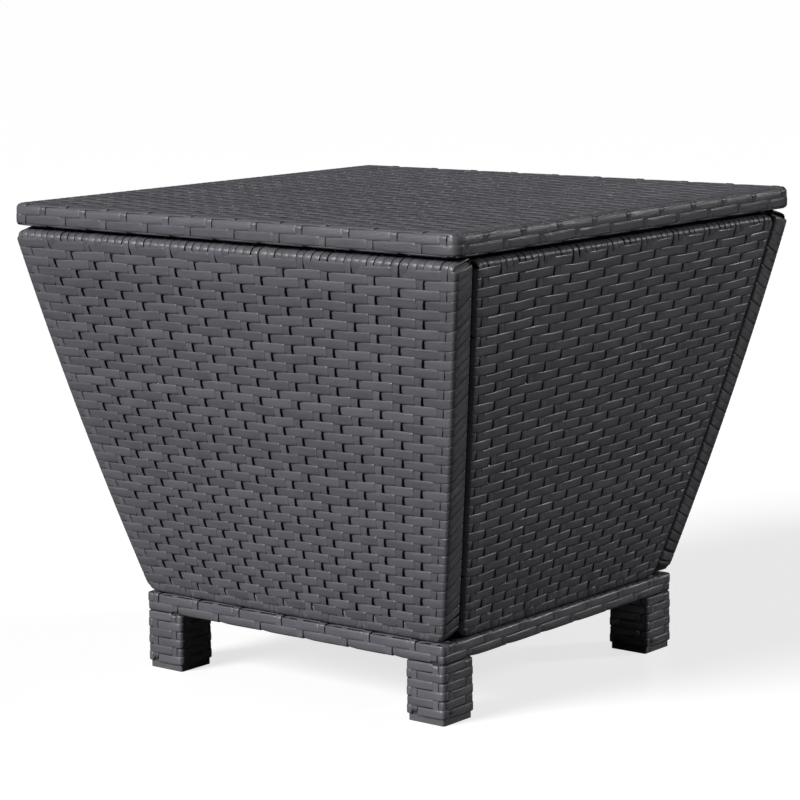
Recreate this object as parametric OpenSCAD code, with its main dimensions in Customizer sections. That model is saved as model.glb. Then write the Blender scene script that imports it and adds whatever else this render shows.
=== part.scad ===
// Square wicker side table: a woven box on four short legs, with storage under a hinged lid.
// Millimetres, +Z up, the front toward -Y. The origin is on the floor under the middle of the table.
// Every woven part is a welded ring of square steel tube inside a skin of flat ribbon.

/* [Lid] */
// Distance that the lid reaches past the rim of the box on each side
lid_overhang = 0.2; // [0:0.1:3]
// Square steel tube of the lid frame
lid_tube = 16; // [14:0.5:20]
// Thickness of the weave round the lid frame
lid_weave_t = 2; // [2:0.1:3]
// Corner radius of the lid seen from above
lid_corner_r = 10; // [6:1:20]
// Distance of each lid bar from the middle
lid_bar_x = 84; // [60:1:110]
// Height of the lid over the highest edge of the rim
lid_rest_gap = 0.3; // [0.2:0.1:1]

/* [Box] */
// Width of the box at the outer edge of its rim
rim_w = 499.6; // [470:0.2:550]
// Width of the box at its foot
box_foot_w = 340.8; // [320:0.2:380]
// Height of the box from its foot to the outer edge of its rim
box_h = 332.6; // [260:0.2:400]
// Square steel tube of the box sides
panel_tube = 20; // [16:0.5:24]
// Thickness of the weave round the tubes of the box sides
panel_weave_t = 2; // [1.6:0.1:3]
// Corner radius of a box side seen face on
panel_corner_r = 10; // [6:1:14]
// Seam between a full-width side and the one that stands against it
seam_gap = 0.6; // [0.4:0.1:2]

/* [Base] */
// Distance that the base reaches past the foot of the box on each side
base_overhang = 1.8; // [0:0.1:3]
// Height of the base from the floor to the box
base_h = 70.8; // [60:0.2:120]
// Square steel tube of the base rails
rail_tube = 15; // [15:0.5:20]
// Thickness of the weave round the base rails
base_weave_t = 1.5; // [1.5:0.1:3]
// Width of a leg over its weave
leg_w = 42.4; // [36:0.2:50]
// Thickness of the weave round a leg
leg_weave_t = 2; // [1.5:0.1:3]
// Radius of a leg's upright edges
leg_corner_r = 4; // [4:0.5:10]
// Height of the foot cap that shows under a leg
foot_h = 6; // [4:0.5:12]
// Width of the foot cap
foot_w = 38.4; // [30:0.2:40]
// Height of the plug on a foot cap
foot_plug_h = 14; // [8:1:24]

/* [Weave and steel] */
// Thickness of an open woven field, two ribbons crossing
field_t = 3; // [2.5:0.1:4]
// Radius of the long edges where ribbon folds round a tube
fold_r = 4; // [3:0.5:5]
// Height of one woven row of ribbon on a box side
row_pitch = 8.36; // [7:0.01:10]
// Height of the first row's lower edge above a box side's foot
row_low = 1.3; // [1:0.1:4]
// Distance between uprights along the rim of a box side
upright_pitch = 24.86; // [20:0.02:30]
// Distance from a box side's end to the middle of its first upright
upright_in = 13; // [12:0.5:16]
// Width of each dip where an upright shows between two lengths of ribbon
dip_w = 10; // [7:0.5:12]
// Depth of each dip
dip_h = 0.8; // [0.3:0.1:1.2]
// Wall of every steel tube
tube_wall = 1.2; // [1:0.1:1.5]
// Clearance between a tube and the weave round it
weave_fit = 0.1; // [0.05:0.05:0.3]

/* [Fixings] */
// Thread diameter of the bolts
bolt_d = 6; // [5:0.5:6.5]
// Head diameter of the bolts
bolt_head_d = 11; // [10:0.5:11]
// Head height of the bolts
bolt_head_h = 3.4; // [2.5:0.1:4]
// Hexagon socket across its corners
bolt_socket_d = 4.6; // [3:0.1:5]
// Diameter of the washers at the side bolts
washer_d = 14; // [13:0.5:16]
// Washer thickness
washer_t = 1.2; // [1:0.1:2]
// Body diameter of the threaded inserts
insert_d = 9; // [8.5:0.5:11]
// Flange diameter of the threaded inserts
insert_flange_d = 12; // [11.5:0.5:14]
// Flange thickness of the threaded inserts
insert_flange_t = 0.8; // [0.6:0.1:1]
// Length of the threaded inserts
insert_len = 12; // [10:1:15]
// Height of the lower side bolts over the foot of the box, along the slant
side_bolt_low = 64; // [45:1:120]
// Depth of the upper side bolts under the rim, along the slant
side_bolt_high = 64; // [45:1:120]
// Distance of each base bolt from the end of the foot of its box side
base_bolt_end = 88.4; // [70:0.2:110]
// Clearance of a bolt in its hole
bolt_clear = 0.4; // [0.3:0.1:1]

/* [Hinges] */
// Distance from the middle of each hinge to the end of the rim
hinge_end = 99.2; // [70:0.2:140]
// Length of a hinge
hinge_len = 60; // [40:1:80]
// Width of the flat of a leaf
leaf_w = 12; // [10:0.5:13]
// Thickness of a leaf
leaf_t = 1.8; // [1.5:0.1:1.9]
// Distance of each hinge screw from the middle of its hinge
hinge_screw_x = 18; // [12:1:24]
// Shank diameter of the hinge screws
hinge_screw_d = 3.2; // [2.5:0.1:3.5]
// Length of the hinge screws
hinge_screw_len = 9; // [6:1:12]
// Play between neighbouring knuckles
knuckle_gap = 0.3; // [0.2:0.05:0.5]
// Radial clearance of the pin
pin_clear = 0.05; // [0.02:0.01:0.1]

/* [Hidden] */
SIDES = ["front", "right", "back", "left"];
CORNERS = ["front_left", "front_right", "back_right", "back_left"];
HINGES = ["left", "right"];

$fn = 48;
ARC_STEPS = 5;
CUT = 1;
TOUCH = 0.2;
FAR = 1000;

// The box sides: panel_z puts the lowest point of their folded foot edge on the base.
slant = atan((rim_w - box_foot_w) / 2 / box_h);
stile_lean = atan(sin(slant));
panel_d = panel_tube + 2 * panel_weave_t;
panel_len = box_h / cos(slant);
stile_len = panel_len / cos(stile_lean);
fold_lift = fold_r * (cos(slant) + sin(slant) - 1);
panel_z = base_h + TOUCH - fold_lift;
full_half = box_foot_w / 2;
inset_half = full_half - panel_d / cos(slant) - seam_gap;

lid_w = rim_w + 2 * lid_overhang;
lid_t = lid_tube + 2 * lid_weave_t;
lid_z = panel_z + box_h + panel_d * sin(slant) - fold_lift + lid_rest_gap;
lid_ring_inner = lid_w / 2 - lid_weave_t - lid_tube;

base_w = box_foot_w + 2 * base_overhang;
apron_h = rail_tube + 2 * base_weave_t;
apron_z = base_h - apron_h;
rail_y = base_w / 2 - base_weave_t - rail_tube / 2;
rail_z = base_h - base_weave_t - rail_tube / 2;
leg_tube = leg_w - 2 * leg_weave_t;
leg_tube_r = leg_corner_r - leg_weave_t;
leg_xy = base_w / 2 - leg_w / 2;
plug_clear = 0.2;
weld_bite = tube_wall / 2;

bolt_r = bolt_d / 2;
bolt_hole_r = bolt_r + bolt_clear;
insert_r = insert_d / 2;
thread_fit = 0.05;
tip_reach = 1.5;

// A side bolt runs along x from the inner face of an inset side's stile, x = -panel_d, across the
// seam and into the stile of the full-width side, whose face leans a little away from it.
seam_skew = sin(slant) * tan(slant);
seam_mid = seam_gap + panel_d / 2 * seam_skew;
side_insert_x = seam_mid + panel_weave_t - insert_flange_d / 2 * seam_skew;

// A base bolt runs straight up through a base rail and the foot rail of a box side. Its head and
// washer go in through a hole in the base rail's lower wall and lie against its upper wall.
base_bolt_x = full_half - base_bolt_end;
foot_rail_z = panel_z + panel_d / 2 * (cos(slant) + sin(slant));
base_insert_z = foot_rail_z - panel_tube / 2 - insert_flange_t;
washer_play = 0.4;
base_washer_r = rail_tube / 2 - tube_wall - washer_play;
base_access_r = base_washer_r + washer_play / 2;
base_washer_seat = rail_z + rail_tube / 2 - tube_wall;

// A hinge fills the wedge between the slanting steel top of the back rim, whose outer edge is at
// rim_steel_y and rim_steel_z, and the level lid. Its knuckle is as large as the wedge takes.
hinge_x = rim_w / 2 - hinge_end;
rim_steel_y = full_half + (panel_len - panel_weave_t) * sin(slant);
rim_steel_z = panel_z + (panel_len - panel_weave_t) * cos(slant);
lid_leaf_z = lid_z + lid_weave_t - leaf_t;
knuckle_seat = 0.25;
knuckle_edge = 0.05;
knuckle_r = (
    (lid_leaf_z + TOUCH - rim_steel_z) * cos(slant)
    - (rim_steel_y - lid_w / 2 + knuckle_edge) * sin(slant)
    - knuckle_seat
) / (1 + cos(slant) + sin(slant));
pivot_y = lid_w / 2 - knuckle_r - knuckle_edge;
pivot_z = lid_leaf_z + TOUCH - knuckle_r;
pin_r = knuckle_r / 2;
KNUCKLES = 5;
leaf_gap = 0.4;
leaf_back = knuckle_r + leaf_gap;
leaf_room = 1;

// The pivot and the near edge of the box leaf in the back side's own frame, then of the lid leaf.
rim_steel_up = panel_len - panel_weave_t;
pivot_up = (pivot_y - full_half) * sin(slant) + (pivot_z - panel_z) * cos(slant);
pivot_out = (pivot_y - full_half) * cos(slant) - (pivot_z - panel_z) * sin(slant);
box_leaf_out = pivot_out - leaf_back;
lid_leaf_y = pivot_y - leaf_back;

// The hinge screws are countersunk at 45 degrees.
screw_r = hinge_screw_d / 2;
screw_head_h = 1.4;
screw_head_r = screw_r + screw_head_h;
screw_fit = 0.1;

steel = "dimgray";
ribbon = "#4a4a4e";
zinc = "silver";
plastic = "#202022";

// Points of the arc that rounds the corner at b between its neighbours a and c.
function corner_arc(a, b, c, r) =
    let (
        to_a = (a - b) / norm(a - b),
        to_c = (c - b) / norm(c - b),
        half = acos(to_a * to_c) / 2,
        middle = b + (to_a + to_c) / norm(to_a + to_c) * r / sin(half),
        start = b + to_a * r / tan(half) - middle,
        first = atan2(start[1], start[0]),
        turn = (180 - 2 * half) * sign(cross(to_c, to_a))
    )
    [for (i = [0:ARC_STEPS]) let (at = first + turn * i / ARC_STEPS) middle + r * [cos(at), sin(at)]];

// A closed outline with every corner rounded.
function rounded(points, r) =
    let (n = len(points))
    [for (i = [0:n - 1]) each corner_arc(points[(i + n - 1) % n], points[i], points[(i + 1) % n], r)];

module rounded_square(w, r) {
    half = w / 2;
    polygon(rounded([[-half, -half], [half, -half], [half, half], [-half, half]], r));
}

// A solid that fills everything inward of x = 0 between z = -depth and 0, with the two long edges
// at x = 0 folded round.
module folded_edge(depth) {
    outside = concat(
        corner_arc([-FAR, 0], [0, 0], [0, depth], fold_r),
        corner_arc([0, 0], [0, depth], [-FAR, depth], fold_r)
    );
    translate([0, -FAR, 0])
        rotate([-90, 0, 0])
            linear_extrude(2 * FAR)
                polygon(concat([[-FAR, 0]], outside, [[-FAR, depth]]));
}

// A cylinder along z between two heights.
module rod(r, z_low, z_high) {
    translate([0, 0, z_low])
        cylinder(r = r, h = z_high - z_low);
}

// Carries side k's own frame to its place: x along the side, y up its slant, z out of its face.
module on_side(k) {
    rotate([0, 0, 90 * k])
        translate([0, -full_half, panel_z])
            rotate([90 + slant, 0, 0])
                children();
}

// The front and back run the full width, and the other two stand between them.
function foot_half(k) = k % 2 == 0 ? full_half : inset_half;

// The outline of a box side, drawn in from its edges. half is its half width at the foot.
function panel_outline(half, inset) =
    let (
        low = half + inset * tan(stile_lean) - inset / cos(stile_lean),
        high = half + (panel_len - inset) * tan(stile_lean) - inset / cos(stile_lean)
    )
    [[-low, inset], [low, inset], [high, panel_len - inset], [-high, panel_len - inset]];

// The welded ring of a box side, its section grown by a clearance or shrunk by the tube's wall.
module panel_ring(half, grow) {
    outer = panel_weave_t - grow;
    inner = panel_weave_t + panel_tube + grow;
    translate([0, 0, -inner])
        linear_extrude(inner - outer)
            difference() {
                polygon(rounded(panel_outline(half, outer), panel_corner_r - outer));
                polygon(panel_outline(half, inner));
            }
}

// A box side as a solid slab with its four edges folded round.
module panel_slab(half) {
    intersection() {
        translate([0, 0, -panel_d])
            linear_extrude(panel_d)
                polygon(rounded(panel_outline(half, 0), panel_corner_r));
        translate([0, panel_len, 0])
            rotate([0, 0, 90])
                folded_edge(panel_d);
        rotate([0, 0, -90])
            folded_edge(panel_d);
        stile_end(half)
            folded_edge(panel_d);
        mirror([1, 0, 0])
            stile_end(half)
                folded_edge(panel_d);
    }
}

// Places children at the foot of the right stile's end face: x out of the face, y up the stile.
module stile_end(half) {
    translate([half, 0, 0])
        rotate([0, 0, -stile_lean])
            children();
}

// Places children on each of the eight side bolts, with z along the bolt.
module at_side_bolts() {
    for (k = [1, 3])
        on_side(k)
            for (way = [0, 1])
                mirror([way, 0, 0])
                    stile_end(inset_half)
                        for (y = [side_bolt_low, stile_len - side_bolt_high])
                            translate([0, y, -panel_d / 2])
                                rotate([0, 90, 0])
                                    children();
}

// Places children on each of the eight base bolts, with z up the bolt.
module at_base_bolts() {
    for (k = [0:3])
        rotate([0, 0, 90 * k])
            for (x = [-base_bolt_x, base_bolt_x])
                translate([x, -rail_y, 0])
                    children();
}

// The dips over a box side's face where its uprights show, in every second row at each upright.
module panel_dips(half) {
    slope = tan(stile_lean);
    spaces = round(2 * (half + panel_len * slope - upright_in) / upright_pitch);
    rows = floor((panel_len - row_low) / row_pitch);
    translate([0, 0, -dip_h])
        linear_extrude(dip_h + CUT)
            for (row = [1:rows - 2])
                let (y = row_low + (row + 0.5) * row_pitch, reach = half + y * slope - upright_in)
                    for (n = [row % 2:2:spaces])
                        translate([reach * (2 * n / spaces - 1), y])
                            square([dip_w, row_pitch], center = true);
}

module panel_frame(k) {
    color(steel)
        difference() {
            on_side(k)
                difference() {
                    panel_ring(foot_half(k), 0);
                    panel_ring(foot_half(k), -tube_wall);
                }
            at_side_bolts() {
                rod(bolt_hole_r, -panel_d, 0);
                rod(insert_r + thread_fit, seam_mid, seam_mid + panel_tube / 2);
            }
            at_base_bolts()
                rod(insert_r + thread_fit, base_h, foot_rail_z);
            if (SIDES[k] == "back")
                at_hinges()
                    at_box_screws()
                        rod(screw_r + screw_fit, -hinge_screw_len, 0);
        }
}

// A box side's weave: a thin field in line with the outer face, folded round the ring, with the
// dips of its crossings.
module panel_weave(k) {
    color(ribbon)
        difference() {
            on_side(k)
                difference() {
                    panel_slab(foot_half(k));
                    panel_dips(foot_half(k));
                    panel_ring(foot_half(k), weave_fit);
                    translate([0, 0, -panel_d - CUT])
                        linear_extrude(panel_d + CUT - field_t)
                            polygon(panel_outline(foot_half(k), panel_d));
                }
            at_side_bolts() {
                rod(bolt_hole_r, -panel_d - CUT, CUT);
                rod(insert_flange_d / 2 + weave_fit, seam_gap, seam_mid + panel_d / 2);
            }
            at_base_bolts()
                rod(insert_r + weave_fit, base_h, foot_rail_z);
            if (SIDES[k] == "back")
                at_hinges()
                    box_leaf_pocket();
        }
}

// A rounded square column between two heights.
module column(w, r, z_low, z_high) {
    translate([0, 0, z_low])
        linear_extrude(z_high - z_low)
            rounded_square(w, r);
}

// Places children on the axis of leg k, counted from the front left.
module at_leg(k) {
    rotate([0, 0, 90 * k])
        translate([-leg_xy, -leg_xy, 0])
            children();
}

// The four rails and the middle bar of the base, with their section grown or shrunk.
module base_rails(grow) {
    section = rail_tube + 2 * grow;
    rail_len = base_w - 2 * (leg_weave_t + leg_tube - weld_bite);
    bar_len = 2 * rail_y - rail_tube + 2 * weld_bite;
    for (k = [0:3])
        rotate([0, 0, 90 * k])
            translate([0, -rail_y, rail_z])
                cube([rail_len, section, section], center = true);
    translate([0, 0, rail_z])
        cube([section, bar_len, section], center = true);
}

// The welded base: four leg tubes, four rails between them and a bar across the middle.
module base_frame() {
    color(steel)
        difference() {
            union() {
                base_rails(0);
                for (k = [0:3])
                    at_leg(k)
                        column(leg_tube, leg_tube_r, foot_h, base_h - leg_weave_t);
            }
            base_rails(-tube_wall);
            for (k = [0:3])
                at_leg(k)
                    column(
                        leg_tube - 2 * tube_wall, leg_tube_r - tube_wall,
                        foot_h - CUT, base_h - leg_weave_t - tube_wall
                    );
            at_base_bolts() {
                rod(bolt_hole_r, rail_z, base_h);
                rod(base_access_r, apron_z, rail_z);
            }
        }
}

// The bays under the storage floor, between the ribbon round the rails, the bar and the legs.
module floor_bays() {
    bay_half = rail_y - rail_tube / 2 - base_weave_t;
    bar_half = rail_tube / 2 + base_weave_t;
    translate([0, 0, apron_z - CUT])
        linear_extrude(apron_h + CUT - field_t)
            difference() {
                square(2 * bay_half, center = true);
                square([2 * bar_half, 2 * bay_half + CUT], center = true);
                for (k = [0:3])
                    at_leg(k)
                        rounded_square(leg_w, leg_corner_r);
            }
}

// The storage floor's weave, folded round the rails as an apron of two ribbon rows.
module floor_weave() {
    color(ribbon)
        difference() {
            column(base_w, leg_corner_r, apron_z, base_h);
            floor_bays();
            base_rails(weave_fit);
            for (k = [0:3])
                at_leg(k)
                    column(
                        leg_tube + 2 * weave_fit, leg_tube_r + weave_fit,
                        apron_z - CUT, base_h - leg_weave_t + weave_fit
                    );
            at_base_bolts() {
                rod(bolt_hole_r, rail_z, base_h + CUT);
                rod(base_access_r, apron_z - CUT, rail_z);
            }
        }
}

module leg_weave(k) {
    color(ribbon)
        at_leg(k)
            difference() {
                column(leg_w, leg_corner_r, foot_h + TOUCH, apron_z - TOUCH);
                column(leg_tube + 2 * weave_fit, leg_tube_r + weave_fit, foot_h, apron_z);
            }
}

module foot_cap(k) {
    plug_w = leg_tube - 2 * tube_wall - 2 * plug_clear;
    color(plastic)
        at_leg(k) {
            column(foot_w, leg_tube_r, 0, foot_h);
            column(plug_w, leg_tube_r - tube_wall, foot_h - CUT, foot_h + foot_plug_h);
        }
}

// A button head bolt along z, with a hexagon socket in its head.
module button_bolt(z_seat, z_tip) {
    difference() {
        union() {
            rod(bolt_r, z_seat - bolt_head_h, z_tip);
            rod(bolt_head_d / 2, z_seat - bolt_head_h, z_seat);
        }
        translate([0, 0, z_seat - bolt_head_h - CUT])
            cylinder(d = bolt_socket_d, h = bolt_head_h / 2 + CUT, $fn = 6);
    }
}

module washer(z_seat, r) {
    difference() {
        rod(r, z_seat - washer_t, z_seat);
        rod(bolt_hole_r, z_seat - washer_t - CUT, z_seat + CUT);
    }
}

// A threaded insert along z, from the outside of the wall that it is set in.
module insert(z_seat, flange_r) {
    difference() {
        union() {
            rod(insert_r, z_seat - insert_flange_t, z_seat + insert_len);
            rod(flange_r, z_seat - insert_flange_t, z_seat);
        }
        rod(bolt_r + thread_fit, z_seat - insert_flange_t - CUT, z_seat + insert_len + CUT);
    }
}

module panel_bolts() {
    color(zinc)
        at_side_bolts()
            button_bolt(-panel_d - washer_t, side_insert_x + insert_len + tip_reach);
}

module panel_washers() {
    color(zinc)
        at_side_bolts()
            washer(-panel_d, washer_d / 2);
}

module panel_inserts() {
    color(zinc)
        at_side_bolts()
            insert(side_insert_x, insert_flange_d / 2);
}

module base_bolts() {
    color(zinc)
        at_base_bolts()
            button_bolt(base_washer_seat - washer_t, base_insert_z + insert_len + tip_reach);
}

module base_washers() {
    color(zinc)
        at_base_bolts()
            washer(base_washer_seat, base_washer_r);
}

// The foot rail leans over its bolts, so these inserts are plain and have no flange.
module base_inserts() {
    color(zinc)
        at_base_bolts()
            insert(base_insert_z, insert_r);
}

// The lid's welded ring and its two bars, with their section grown or shrunk.
module lid_tubes(grow) {
    section = lid_tube + 2 * grow;
    ring_w = 2 * (lid_ring_inner + lid_tube + grow);
    bar_len = 2 * (lid_ring_inner + weld_bite);
    translate([0, 0, lid_z + lid_weave_t - grow])
        linear_extrude(section)
            difference() {
                rounded_square(ring_w, lid_corner_r - lid_weave_t + grow);
                square(2 * (lid_ring_inner - grow), center = true);
            }
    for (x = [-lid_bar_x, lid_bar_x])
        translate([x, 0, lid_z + lid_t / 2])
            cube([section, bar_len, section], center = true);
}

module lid_frame() {
    color(steel)
        difference() {
            lid_tubes(0);
            lid_tubes(-tube_wall);
            at_hinges()
                at_lid_screws()
                    rod(screw_r + screw_fit, -hinge_screw_len, 0);
        }
}

// The lid as a solid slab with its four edges folded round.
module lid_slab() {
    intersection() {
        column(lid_w, lid_corner_r, lid_z, lid_z + lid_t);
        intersection_for(k = [0:3])
            rotate([0, 0, 90 * k])
                translate([lid_w / 2, 0, lid_z + lid_t])
                    folded_edge(lid_t);
    }
}

// The lid's weave: a field on top, folded round the ring and the bars, with three bays below.
module lid_weave() {
    bay_half = lid_ring_inner - lid_weave_t;
    wrap_w = lid_tube + 2 * lid_weave_t;
    color(ribbon)
        difference() {
            lid_slab();
            translate([0, 0, lid_z - CUT])
                linear_extrude(lid_t + CUT - field_t)
                    difference() {
                        square(2 * bay_half, center = true);
                        for (x = [-lid_bar_x, lid_bar_x])
                            translate([x, 0])
                                square([wrap_w, 2 * bay_half + CUT], center = true);
                    }
            lid_tubes(weave_fit);
            at_hinges()
                lid_leaf_pocket();
        }
}

// Places children at the middle of both hinges.
module at_hinges() {
    for (way = [-1, 1])
        at_hinge(way)
            children();
}

module at_hinge(way) {
    translate([way * hinge_x, 0, 0])
        children();
}

// A flat plane across the hinge is drawn with its y and z, and pushed out along x for every second
// knuckle from the one numbered first.
module knuckles(first) {
    pitch = hinge_len / KNUCKLES;
    for (i = [first:2:KNUCKLES - 1])
        translate([-hinge_len / 2 + i * pitch + knuckle_gap / 2, 0, 0])
            rotate([90, 0, 90])
                linear_extrude(pitch - knuckle_gap)
                    children();
}

// Room in the back rim's weave, where the box leaf is screwed straight to the steel.
module box_leaf_pocket() {
    on_side(2)
        translate([-hinge_len / 2 - leaf_room, rim_steel_up - weave_fit, -panel_d - CUT])
            cube([hinge_len + 2 * leaf_room, panel_weave_t + CUT, panel_d + 2 * CUT]);
}

// Room under the lid, where the lid leaf is screwed straight to the steel.
module lid_leaf_pocket() {
    inner = lid_ring_inner - lid_weave_t - CUT;
    translate([-hinge_len / 2 - leaf_room, inner, lid_z - CUT])
        cube([hinge_len + 2 * leaf_room, lid_w / 2 - inner + CUT, lid_weave_t + weave_fit + CUT]);
}

// Places children at each screw of a box leaf, with z out of the leaf's face.
module at_box_screws() {
    on_side(2)
        for (x = [-hinge_screw_x, hinge_screw_x])
            translate([x, rim_steel_up + leaf_t, box_leaf_out - leaf_w / 2])
                rotate([-90, 0, 0])
                    children();
}

// Places children at each screw of a lid leaf, with z out of the leaf's face.
module at_lid_screws() {
    for (x = [-hinge_screw_x, hinge_screw_x])
        translate([x, lid_leaf_y - leaf_w / 2, lid_leaf_z])
            rotate([180, 0, 0])
                children();
}

// A countersunk screw whose head is level with z = 0, or its hole when grown by a clearance.
module screw(grow, length) {
    rod(screw_r + grow, -length, 0);
    translate([0, 0, -screw_head_h])
        cylinder(r1 = screw_r + grow, r2 = screw_head_r + grow, h = screw_head_h);
}

module box_leaf(way) {
    color(zinc)
        at_hinge(way)
            difference() {
                on_side(2)
                    difference() {
                        union() {
                            translate([-hinge_len / 2, rim_steel_up, box_leaf_out - leaf_w])
                                cube([hinge_len, leaf_t, leaf_w]);
                            knuckles(0)
                                translate([rim_steel_up, box_leaf_out - TOUCH])
                                    square([leaf_t, leaf_back + TOUCH]);
                            knuckles(0)
                                translate([pivot_up, pivot_out])
                                    circle(knuckle_r);
                        }
                        translate([-hinge_len, pivot_up, pivot_out])
                            rotate([0, 90, 0])
                                cylinder(r = pin_r + pin_clear, h = 2 * hinge_len);
                    }
                at_box_screws()
                    screw(screw_fit, leaf_t + CUT);
            }
}

module lid_leaf(way) {
    color(zinc)
        at_hinge(way)
            difference() {
                union() {
                    translate([-hinge_len / 2, lid_leaf_y - leaf_w, lid_leaf_z])
                        cube([hinge_len, leaf_w, leaf_t]);
                    knuckles(1)
                        translate([lid_leaf_y - TOUCH, lid_leaf_z])
                            square([leaf_back + TOUCH, leaf_t]);
                    knuckles(1)
                        translate([pivot_y, pivot_z])
                            circle(knuckle_r);
                }
                translate([-hinge_len, pivot_y, pivot_z])
                    rotate([0, 90, 0])
                        cylinder(r = pin_r + pin_clear, h = 2 * hinge_len);
                at_lid_screws()
                    screw(screw_fit, leaf_t + CUT);
            }
}

module hinge_pin(way) {
    color(steel)
        at_hinge(way)
            translate([-hinge_len / 2, pivot_y, pivot_z])
                rotate([0, 90, 0])
                    cylinder(r = pin_r, h = hinge_len);
}

module hinge_box_screws() {
    color(zinc)
        at_hinges()
            at_box_screws()
                screw(0, hinge_screw_len);
}

module hinge_lid_screws() {
    color(zinc)
        at_hinges()
            at_lid_screws()
                screw(0, hinge_screw_len);
}

base_frame();
floor_weave();
for (k = [0:3]) leg_weave(k);
for (k = [0:3]) foot_cap(k);
for (k = [0:3]) panel_frame(k);
for (k = [0:3]) panel_weave(k);
panel_bolts();
panel_washers();
panel_inserts();
base_bolts();
base_washers();
base_inserts();
lid_frame();
lid_weave();
for (k = [0:1]) box_leaf(2 * k - 1);
for (k = [0:1]) lid_leaf(2 * k - 1);
for (k = [0:1]) hinge_pin(2 * k - 1);
hinge_box_screws();
hinge_lid_screws();
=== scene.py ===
import bpy
import numpy as np
from math import atan, cos, pi, radians, sin, tan
from mathutils import Matrix, Vector


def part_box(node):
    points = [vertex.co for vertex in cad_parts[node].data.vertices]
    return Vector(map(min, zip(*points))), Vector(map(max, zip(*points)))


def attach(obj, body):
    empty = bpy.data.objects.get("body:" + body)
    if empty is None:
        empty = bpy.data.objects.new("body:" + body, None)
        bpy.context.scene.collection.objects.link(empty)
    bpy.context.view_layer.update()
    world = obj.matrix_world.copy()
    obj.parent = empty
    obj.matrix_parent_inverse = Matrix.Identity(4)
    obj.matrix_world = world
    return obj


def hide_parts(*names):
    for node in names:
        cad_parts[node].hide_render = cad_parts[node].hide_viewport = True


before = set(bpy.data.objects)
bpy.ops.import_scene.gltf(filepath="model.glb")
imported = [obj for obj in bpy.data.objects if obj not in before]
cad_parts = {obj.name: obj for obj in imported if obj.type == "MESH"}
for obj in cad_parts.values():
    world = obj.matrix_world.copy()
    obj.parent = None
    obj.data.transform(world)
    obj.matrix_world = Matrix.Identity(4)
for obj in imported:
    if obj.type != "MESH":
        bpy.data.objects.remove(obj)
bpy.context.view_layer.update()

# The ribbon. One flat extruded ribbon of black garden plastic, crowned and ribbed, weaves every
# part of the table. It is drawn as closed strips laid on a skin, in millimetres. A section's
# points are shares of its half width and half thickness.

ribbon_section = np.array([
    (-0.92, 0.72), (-0.55, 1.0), (0.55, 1.0), (0.92, 0.72),
    (1.0, 0.1), (0.88, -0.95), (-0.88, -0.95), (-1.0, 0.1),
])
plain_section = np.array([
    (-0.98, 0.6), (-0.84, 1.0), (0.84, 1.0), (0.98, 0.6), (0.9, -0.9), (-0.9, -0.9),
])
ribbon_thick = 1.2
reel_length = 900
fold_steps = 6
a_hair = 0.001
chance = np.random.default_rng(11)


def box_of(node):
    """A node's lowest and highest corners in millimetres."""
    return [[round(value * 1000, 3) for value in corner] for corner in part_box(node)]


def new_bundle():
    return {"spots": [], "marks": [], "quads": [], "ends": [], "count": 0}


def lay_ribbon(bundle, skin, u, v, h, wide, thick=ribbon_thick, section=ribbon_section):
    """One ribbon along u, v on a skin. A skin turns u, v, h into a place, where h is the height
    above it of the ribbon's middle, mostly below zero, so that the face stays in the solid."""
    u, v, h, wide = np.broadcast_arrays(*(np.asarray(x, float) for x in (u, v, h, wide)))
    du, dv = np.gradient(u), np.gradient(v)
    size = np.hypot(du, dv)
    across = section[:, 0] * wide[:, None] / 2
    spots = skin(
        u[:, None] - (dv / size)[:, None] * across,
        v[:, None] + (du / size)[:, None] * across,
        h[:, None] + section[:, 1] * thick / 2,
    )
    rings, sides = spots.shape[:2]
    run = np.concatenate([[0], np.cumsum(np.hypot(np.diff(u), np.diff(v)))])
    marks = np.empty(spots.shape)
    marks[..., 0] = run[:, None] + chance.uniform(0, reel_length)
    marks[..., 1] = across
    marks[..., 2] = chance.uniform()
    corner = bundle["count"] + np.arange(rings * sides).reshape(rings, sides)
    here, there = corner[:-1], corner[1:]
    bundle["quads"].append(np.stack(
        [here, there, np.roll(there, -1, 1), np.roll(here, -1, 1)], -1).reshape(-1, 4))
    bundle["ends"] += [corner[0].tolist(), corner[-1][::-1].tolist()]
    bundle["spots"].append(spots.reshape(-1, 3))
    bundle["marks"].append(marks.reshape(-1, 3))
    bundle["count"] += rings * sides


def weave_piece(name, bundle, place):
    """Joins the ribbons of a bundle into one piece, carried from the skin's frame to its place."""
    spots = np.concatenate(bundle["spots"])
    quads = np.concatenate(bundle["quads"])
    a, b, c = spots[quads[:, 0]], spots[quads[:, 1]], spots[quads[:, 2]]
    inside_out = np.einsum("ij,ij->", a, np.cross(b, c)) < 0
    if inside_out:
        quads = quads[:, ::-1]
        bundle["ends"] = [e[::-1] for e in bundle["ends"]]
    mesh = bpy.data.meshes.new(name)
    mesh.from_pydata((spots * 0.001).tolist(), [], quads.tolist() + bundle["ends"])
    marks = mesh.attributes.new("ribbon", "FLOAT_VECTOR", "POINT")
    marks.data.foreach_set("vector", np.concatenate(bundle["marks"]).astype(np.float32).ravel())
    mesh.transform(place)
    mesh.polygons.foreach_set("use_smooth", [True] * len(mesh.polygons))
    mesh.materials.append(black_ribbon)
    piece = bpy.data.objects.new(name, mesh)
    bpy.context.scene.collection.objects.link(piece)
    return piece


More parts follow.
